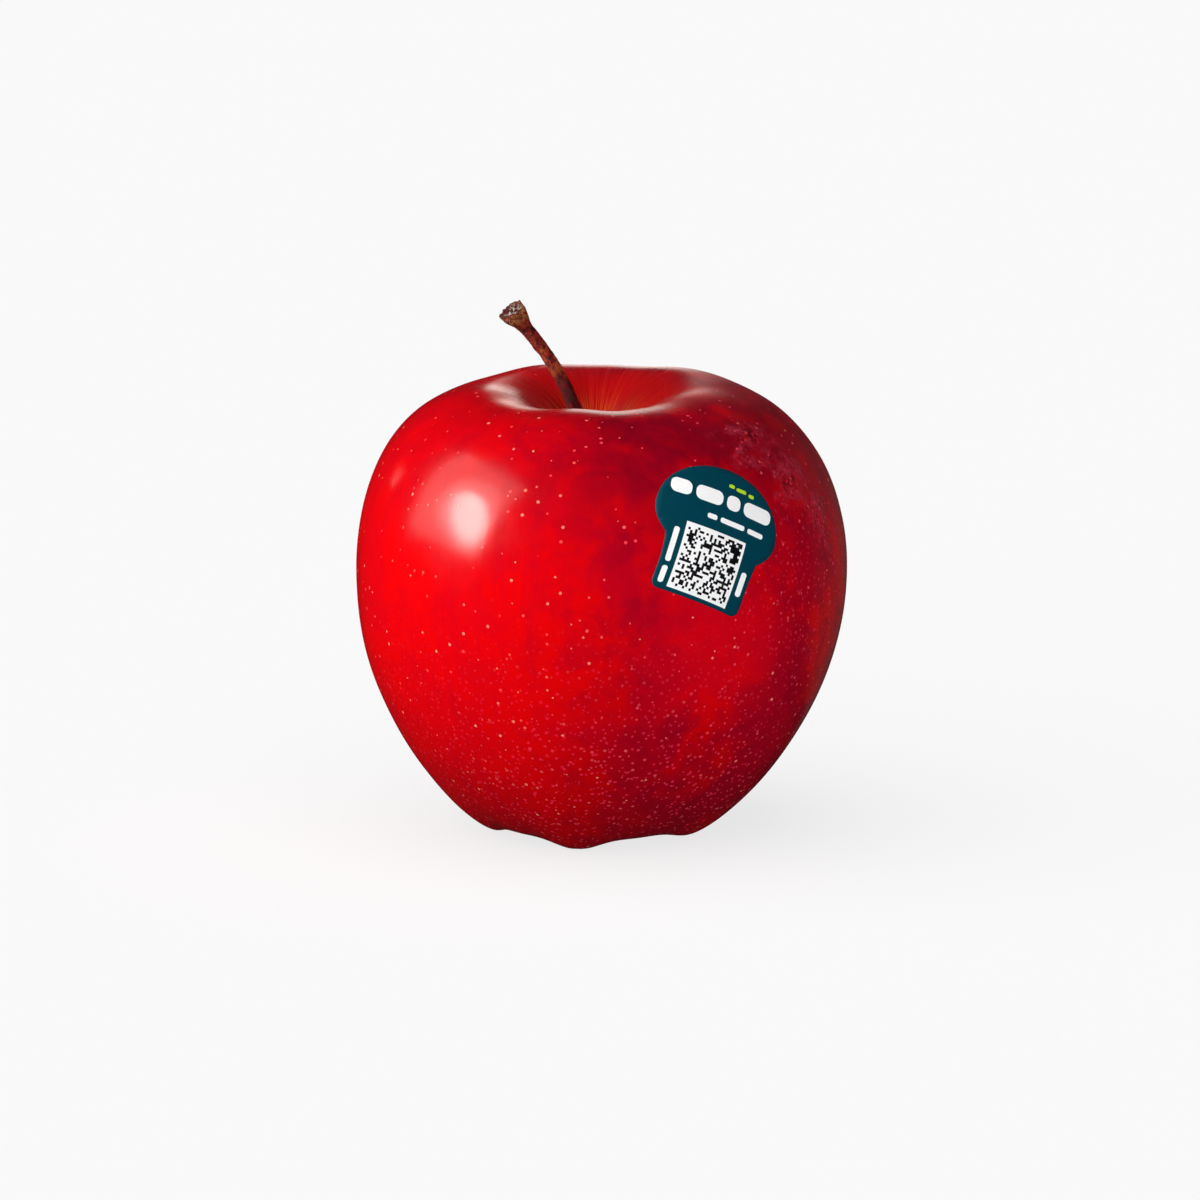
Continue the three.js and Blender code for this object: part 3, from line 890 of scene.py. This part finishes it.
class Skin(Surface):
    """The fruit's skin. Its methods lay one group of colours over the others, or give a mask."""

    def __init__(self):
        super().__init__("fruit_skin", BRIGHT_RED, IOR=1.45)
        self.x, self.y, self.z = self.split(self.here)
        self.flow = self.read("flow", "Vector")
        self.down = self.split(self.flow)[2]
        self.cavity = self.read("cavity")
        self.basin = self.read("basin")
        self.pale = self.step(self.basin, 0.12, 0.85)
        self.thin_streaks = self.streaks(70, 5, 0.65)
        self.scab = self.noise(620, 4, 0.6, 0.6)
        self.scuff = self.scuff_mask()

    def streaks(self, across, along, roughness, distortion=0):
        """Noise that is drawn out from stalk to calyx."""
        stretched = self.vector("MULTIPLY", self.flow, (across, across, along))
        return self.noise(1, 3, roughness, distortion, stretched)

    def scuff_mask(self):
        """1 in a ragged band through the places of the scuff."""
        away = self.away(SCUFF[0])
        for spot in SCUFF[1:]:
            away = self.math("MINIMUM", away, self.away(spot))
        wander = self.step(self.noise(260, 3, 0.6), 0.3, 0.7, -0.003, 0.003)
        return self.step(self.plus(away, wander), 0.001, 0.0065, 1, 0)

    def lay_ground(self):
        """Bright red, mottled with crimson most of all on the right, and streaked."""
        right = self.step(self.x, -0.022, 0.02, 0.2, 1)
        clouds = self.noise(62, 4, 0.55, 0.6)
        self.lay(self.times(self.step(clouds, 0.42, 0.6, 0.25, 1), right), CRIMSON)
        blotches = self.noise(210, 5, 0.62, 0.5)
        self.lay(self.times(self.step(blotches, 0.42, 0.66, 0, 0.6), right), DARK_CRIMSON)
        self.lay(self.step(self.streaks(11, 3, 0.6, 0.5), 0.5, 0.75, 0, 0.3), CRIMSON)
        self.lay(self.step(self.thin_streaks, 0.5, 0.8, 0, 0.2), CRIMSON)

    def lay_painted_light_and_shade(self):
        """Painted shade on the shoulder, most of all away from the left cheek, and on the foot; painted
        light on a cheek.
        """
        # Painted shade: darker, mottled red over the shoulder, most of all away from the left cheek.
        high = self.times(self.step(self.z, 0.046, 0.068), self.step(self.x, -0.022, 0.006, 0.36, 1))
        mottle = self.noise(150, 4, 0.6, 0.8)
        self.lay(self.times(high, self.step(mottle, 0.3, 0.62, 0.4, 0.78)), PAINTED_SHADE_WINE)
        # Painted shade: darker red towards the foot, under the fruit.
        self.lay(self.times(self.step(self.z, 0.002, 0.024, 1, 0), 0.2), PAINTED_SHADE_WINE)
        # Painted light: a brighter red patch on the cheek.
        self.lay(self.step(self.away(PAINTED_LIGHT_SPOT), 0.004, 0.016, 0.5, 0), PAINTED_LIGHT_RED)

    def lay_scuff(self):
        """A scuffed band down the right shoulder with dark patches, its dusky pink partly a painted sheen.
        """
        # Dusky pink over the scuff: partly the scuff's own colour, partly a painted sheen.
        self.lay(self.times(self.scuff, self.step(self.scab, 0.44, 0.6, 0.15, 0.8)), SCUFF_AND_SHEEN_PINK)
        self.lay(self.times(self.scuff, self.step(self.scab, 0.34, 0.48, 0.9, 0)), DARK_WINE)

    def lay_cavity(self):
        """Orange rays out of the stalk cavity's yellow floor, and a painted highlight of pale streaks on its
        lip.
        """
        self.lay(self.step(self.cavity, 0.04, 0.3, 0, 0.8), WALL_RED)
        ray = self.times(self.step(self.streaks(34, 7, 0.7), 0.42, 0.66), self.step(self.cavity, 0.25, 0.75))
        self.lay(self.times(ray, self.step(self.cavity, 0.4, 0.75, 0.3, 0.95)), ORANGE)
        self.lay(self.times(self.step(self.cavity, 0.86, 1), 0.75), STRAW)
        # Painted highlight: pale cream streaks over the cavity's lip, strongest at the front.
        lip = self.times(self.step(self.cavity, 0, 0.08), self.step(self.cavity, 0.16, 0.5, 1, 0))
        lip = self.times(lip, self.step(self.y, -0.013, 0.002, 1, 0.12))
        self.lay(self.times(self.step(self.streaks(48, 4, 0.65), 0.42, 0.72, 0.04, 0.36), lip), PAINTED_HIGHLIGHT_CREAM)

    def lay_calyx_end(self):
        """A yellow-green calyx end with rust-brown flecks."""
        self.lay(self.times(self.pale, 0.7), YELLOW_GREEN)
        flecks = self.step(self.noise(900, 4, 0.7), 0.5, 0.62)
        self.lay(self.times(flecks, self.step(self.basin, 0.2, 0.7)), RUST)

    def dots(self, shift, spacing, size, cover):
        """Dots where the surface is close to a cell's point: their mask, and a random value for each."""
        distance, chance = self.cells(self.vector("ADD", self.here, shift), 1 / (spacing * MM))
        size_chance, tint, _ = self.split(chance)
        radius = self.times(self.step(size_chance, 0, 1, 0.55, 1), size / spacing)
        dot = self.step(distance, self.times(radius, 0.6), radius, 1, 0)
        return self.times(dot, cover), tint

    def crowding(self):
        """How strongly the small lenticels show: low down, in the scuff and down the right side."""
        low = self.times(self.step(self.z, 0.008, 0.046, 1, 0), self.step(self.x, -0.03, 0, 0.3, 0.78))
        low = self.times(low, self.step(self.x, 0.014, 0.034, 1, 0.6))
        side = self.times(self.step(self.x, 0.016, 0.03, 0, 0.28), self.step(self.z, 0.05, 0.062, 1, 0))
        return self.math("MAXIMUM", self.math("MAXIMUM", low, side), self.times(self.scuff, 0.5))

    def lay_lenticels(self):
        """Sparse salmon lenticels, rosier on the right, and crowded pink ones. It gives their mask."""
        sparse, tint = self.dots((0, 0, 0), 1.95, 0.33, self.step(self.cavity, 0.02, 0.3, 1, 0))
        crowded, tint_low = self.dots((0.31, 0.17, 0.05), 0.9, 0.36, self.crowding())
        salmon = self.mix(self.step(tint, 0.3, 1), rgb(0.9, 0.05, 0.05), rgb(0.95, 0.27, 0.18))
        rosy = self.times(self.step(self.x, -0.012, 0.016), self.step(tint, 0.8, 0.85, 0.85, 0.1))
        pink = self.mix(self.step(tint_low, 0.6, 1), rgb(1, 0.03, 0.09), rgb(1, 0.11, 0.13))
        self.lay(self.times(crowded, 0.9), pink)
        self.lay(self.times(sparse, 0.9), self.mix(rosy, salmon, ROSE))
        return self.math("MAXIMUM", sparse, crowded)

    def gloss(self):
        """Roughness: waxy, but softer round the crest, dull on its right and duller at the calyx end."""
        waxy = self.step(self.noise(160, 3, 0.6), 0.3, 0.7, 0.15, 0.21)
        past_crest = self.step(self.down, 0.03, 0.1)
        crest = self.times(past_crest, self.step(self.down, 0.16, 0.26, 1, 0))
        roughness = self.mix(self.times(crest, 0.9), waxy, grey(0.27))
        dull = self.times(past_crest, self.step(self.down, 0.16, 0.4, 0.95, 0))
        dull = self.times(dull, self.step(self.x, 0.008, 0.026))
        roughness = self.mix(dull, roughness, self.step(self.x, 0.014, 0.025, 0.65, 1))
        return self.mix(self.times(self.pale, 0.5), roughness, grey(0.6))

    def fine_relief(self, lenticels):
        """The normal, over the thin streaks, a fine grain, the lenticels and the scuff's scabs."""
        height = self.times(self.thin_streaks, self.step(self.down, 0.05, 0.28, 0.6, 0.15))
        height = self.plus(height, self.times(self.noise(1500, 3, 0.6), 0.06))
        height = self.plus(height, self.times(lenticels, 0.3))
        height = self.plus(height, self.times(self.scab, self.times(self.scuff, 7)))
        return self.bump(height, 0.00006, 0.7)


def skin_material():
    """Waxy red skin: mottled crimson, streaks, pale lenticels and a yellow cavity."""
    skin = Skin()
    skin.lay_ground()
    skin.lay_painted_light_and_shade()
    skin.lay_scuff()
    skin.lay_cavity()
    skin.lay_calyx_end()
    lenticels = skin.lay_lenticels()
    skin.set("Roughness", skin.gloss())
    skin.set("Normal", skin.fine_relief(lenticels))
    return skin.material


def bark_material():
    """Woody stalk: reddish brown with orange patches, dark flecks and a pale, broken end."""
    bark = Surface("stalk_bark", rgb(0.07, 0.003, 0.006), Roughness=0.6, Specular_IOR_Level=0.3)
    along = bark.read("along")
    scar = bark.read("scar")
    groove = bark.read("groove")
    patch = bark.noise(520, 5, 0.7)
    bark.lay(bark.step(patch, 0.4, 0.6), rgb(0.26, 0.012, 0.014))
    orange = bark.times(bark.step(along, 0.5, 0.66), bark.step(along, 0.72, 0.84, 1, 0.25))
    orange = bark.times(orange, bark.step(bark.noise(760, 4, 0.7), 0.42, 0.58))
    bark.lay(orange, rgb(0.44, 0.075, 0.02))
    fleck = bark.noise(1050, 5, 0.8)
    bark.lay(bark.step(fleck, 0.52, 0.6, 0, 0.9), rgb(0.018, 0.01, 0.01))
    # Painted shade: darker in the groove and between the flutes.
    bark.lay(bark.math("MULTIPLY", groove, 0.85, clamp=True), rgb(0.02, 0.003, 0.004))
    bark.lay(bark.step(along, 0.3, 0.62, 0.6, 0), rgb(0.06, 0.003, 0.005))
    knob = bark.step(along, 0.88, 0.98)
    tan = bark.noise(1300, 4, 0.75)
    bark.lay(bark.times(knob, bark.step(tan, 0.47, 0.55)), rgb(0.3, 0.12, 0.04))
    bark.lay(bark.times(scar, 0.85), rgb(0.03, 0.02, 0.016))
    pith = bark.times(bark.step(scar, 0.5, 0.85), bark.step(tan, 0.48, 0.56))
    bark.lay(pith, rgb(0.6, 0.55, 0.5))
    bark.set("Roughness", bark.step(patch, 0.3, 0.7, 0.45, 0.75))
    height = bark.math("SUBTRACT", bark.times(bark.noise(2200, 4, 0.7), 0.6), fleck)
    bark.set("Normal", bark.bump(height, 0.0006, 0.9))
    return bark.material


def dried_leaf_material():
    """Withered calyx: grey-brown, paler at the edges, darker at the tips."""
    leaf = Surface("dried_leaf", rgb(0.13, 0.08, 0.045), Roughness=0.85)
    tip = leaf.read("tip")
    edge = leaf.read("edge")
    mottle = leaf.noise(900, 4, 0.65)
    leaf.lay(leaf.step(mottle, 0.36, 0.64), rgb(0.34, 0.25, 0.15))
    leaf.lay(leaf.step(edge, 0.6, 1, 0, 0.55), rgb(0.42, 0.34, 0.24))
    leaf.lay(leaf.step(tip, 0.65, 1, 0, 0.7), rgb(0.06, 0.035, 0.02))
    fuzz = leaf.noise(2600, 3, 0.7)
    leaf.set("Roughness", leaf.step(fuzz, 0.3, 0.7, 0.75, 0.95))
    leaf.set("Normal", leaf.bump(leaf.plus(mottle, fuzz), 0.00015, 0.8))
    return leaf.material


def film_material():
    """Printed sticker: dark teal film with white, black and lime inks under a satin varnish."""
    film = Surface("printed_film", rgb(0.001, 0.042, 0.066), IOR=1.3)
    ink = film.split(film.read("ink", "Vector"))
    cloud = film.noise(700, 3, 0.6)
    film.lay(cloud, rgb(0.001, 0.052, 0.08))
    speck = film.noise(5200, 2, 0.6)
    film.lay(ink[0], film.mix(film.step(speck, 0.4, 0.7), grey(1), rgb(0.94, 0.95, 0.95)))
    film.lay(ink[1], rgb(0.003, 0.003, 0.004))
    film.lay(ink[2], rgb(0.5, 0.75, 0.02))
    film.set("Roughness", film.step(cloud, 0.3, 0.7, 0.36, 0.5))
    film.set("Normal", film.bump(speck, 0.00001, 0.5))
    return film.material


# ---- Studio

AIM = (-0.00027, 0.0, 0.0378)
CAMERA_DISTANCE = 0.8
CAMERA_ELEVATION = 10
LENS = 147.36
SENSOR = 36

FLOOR_HALF = 12.0
FLOOR_DROP = -0.0002  # just under the fruit, so that the two don't share a plane
FLOOR_GLOW = 0.78
BACKDROP_GLOW = 0.96
ROOM_GLOW = 0.008

LIGHT_DISTANCE = 1.0
LIGHT_AIM = (0, 0, 0.04)
WHITE = (1, 1, 1)
WARM = (1.0, 0.92, 0.87)
PEACH = (1.0, 0.84, 0.76)
BOTH = (True, True)
DIFFUSE_ONLY = (True, False)


def direction(azimuth, elevation):
    """The direction of a place seen from the fruit: azimuth 0 is the front and 90 its right (+X)."""
    a, e = azimuth * DEGREE, elevation * DEGREE
    return Vector((math.sin(a) * math.cos(e), -math.cos(a) * math.cos(e), math.sin(e)))


def look_at(thing, target):
    """Turns a camera or a light towards a point."""
    thing.rotation_mode = "QUATERNION"
    thing.rotation_quaternion = (Vector(target) - thing.location).to_track_quat("-Z", "Y")


def add_camera():
    data = bpy.data.cameras.new("camera")
    data.lens = LENS
    data.sensor_width = SENSOR
    camera = add_object("camera", data)
    camera.location = Vector(AIM) + direction(0, CAMERA_ELEVATION) * CAMERA_DISTANCE
    look_at(camera, AIM)
    bpy.context.scene.camera = camera


def add_light(name, azimuth, elevation, size, radiance, shape="RECTANGLE", tint=WHITE, roll=0, seen=BOTH):
    """A soft light round the fruit. seen says whether diffuse and glossy surfaces see it."""
    data = bpy.data.lights.new(name, "AREA")
    data.shape = shape
    data.size, data.size_y = size
    area = size[0] * size[1] * (1 if shape == "RECTANGLE" else math.pi / 4)
    data.energy = radiance * area * math.pi
    data.color = tint
    data.cycles.use_multiple_importance_sampling = seen[1]
    light = add_object(name, data)
    light.location = Vector(LIGHT_AIM) + direction(azimuth, elevation) * LIGHT_DISTANCE
    look_at(light, LIGHT_AIM)
    light.rotation_quaternion = light.rotation_quaternion @ Quaternion((0, 0, 1), roll * DEGREE)
    light.visible_camera = False
    light.visible_diffuse, light.visible_glossy = seen
    return light


def add_floor():
    """A pale floor that mostly glows, so that it stays even, and takes a faint shadow."""
    mesh = bpy.data.meshes.new("floor")
    corners = [(FLOOR_HALF * x, FLOOR_HALF * y, FLOOR_DROP) for x, y in ((-1, -1), (1, -1), (1, 1), (-1, 1))]
    mesh.from_pydata(corners, [], [(0, 1, 2, 3)])
    floor = add_object("floor", mesh)
    glow = {"Emission_Color": grey(1), "Emission_Strength": FLOOR_GLOW}
    pale = Surface("floor", grey(0.2), Roughness=1.0, Specular_IOR_Level=0.0, **glow)
    mesh.materials.append(pale.material)
    floor.visible_glossy = floor.visible_diffuse = floor.visible_shadow = False
    floor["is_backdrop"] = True
    return floor


def add_floor_light(floor):
    """A wide sun for the floor alone, which is even but for the fruit's soft shadow."""
    data = bpy.data.lights.new("floor_sun", "SUN")
    data.energy = 3.0
    data.angle = 100 * DEGREE
    sun = add_object("floor_sun", data)
    sun.location = direction(-40, 60)
    look_at(sun, (0, 0, 0))
    sun.light_linking.receiver_collection = gather("lit_floor", [floor])


def gather(name, things):
    """A collection of these objects that is only used for linking lights."""
    collection = bpy.data.collections.new(name)
    for thing in things:
        collection.objects.link(thing)
    return collection


def set_world():
    """A pale backdrop for the camera, and a nearly dark room for everything else."""
    world = bpy.data.worlds.new("studio")
    world.use_nodes = True
    tree = world.node_tree
    background = tree.nodes["Background"]
    path = tree.nodes.new("ShaderNodeLightPath")
    strength = tree.nodes.new("ShaderNodeMapRange")
    strength.inputs["To Min"].default_value = ROOM_GLOW
    strength.inputs["To Max"].default_value = BACKDROP_GLOW
    tree.links.new(path.outputs["Is Camera Ray"], strength.inputs["Value"])
    tree.links.new(strength.outputs["Result"], background.inputs["Strength"])
    background.inputs["Color"].default_value = grey(1)
    bpy.context.scene.world = world


def light_studio():
    """A key from the left, strips and haze behind, and soft fills that show in no reflection."""
    lights = [
        add_light("key", -71, 24, (0.34, 0.5), 16, shape="ELLIPSE", tint=WARM, roll=40),
        add_light("key_glow", -75, 28, (0.6, 0.6), 2.2, shape="DISK", tint=WARM),
        add_light("key_softbox", -82, 31, (0.86, 0.8), 1.9, tint=WARM),
        add_light("left_strip", -130, 15, (0.05, 0.1), 1.4, tint=WARM),
        add_light("back_strip", 177, 11, (0.15, 0.36), 2.0, tint=PEACH),
        add_light("back_haze", 140, 8, (1.0, 1.2), 0.04),
    ]
    for name, azimuth, elevation, side, radiance in (
        ("front_fill", 12, 12, 1.2, 2.4),
        ("left_fill", -92, 8, 1.0, 1.3),
        ("right_fill", 70, 8, 1.0, 0.4),
        ("back_fill", 165, 35, 1.2, 1.0),
        ("floor_bounce", -10, -40, 1.2, 0.2),
    ):
        lights.append(add_light(name, azimuth, elevation, (side, side), radiance, seen=DIFFUSE_ONLY))
    return lights


bpy.context.scene.view_settings.view_transform = "Standard"
add_camera()
set_world()
studio_floor = add_floor()
add_floor_light(studio_floor)
studio_lights = light_studio()

fruit_skin, fruit_axis = build_fruit(skin_material())
build_stalk(fruit_axis, bark_material())
dried_leaf = dried_leaf_material()
for sepal_index in range(LOBE_COUNT):
    build_sepal(sepal_index, fruit_axis, dried_leaf)
build_tuft(fruit_axis, dried_leaf)
build_sticker(fruit_skin, film_material())
lit_pieces = gather("lit_pieces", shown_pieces())
for studio_light in studio_lights:
    studio_light.light_linking.receiver_collection = lit_pieces
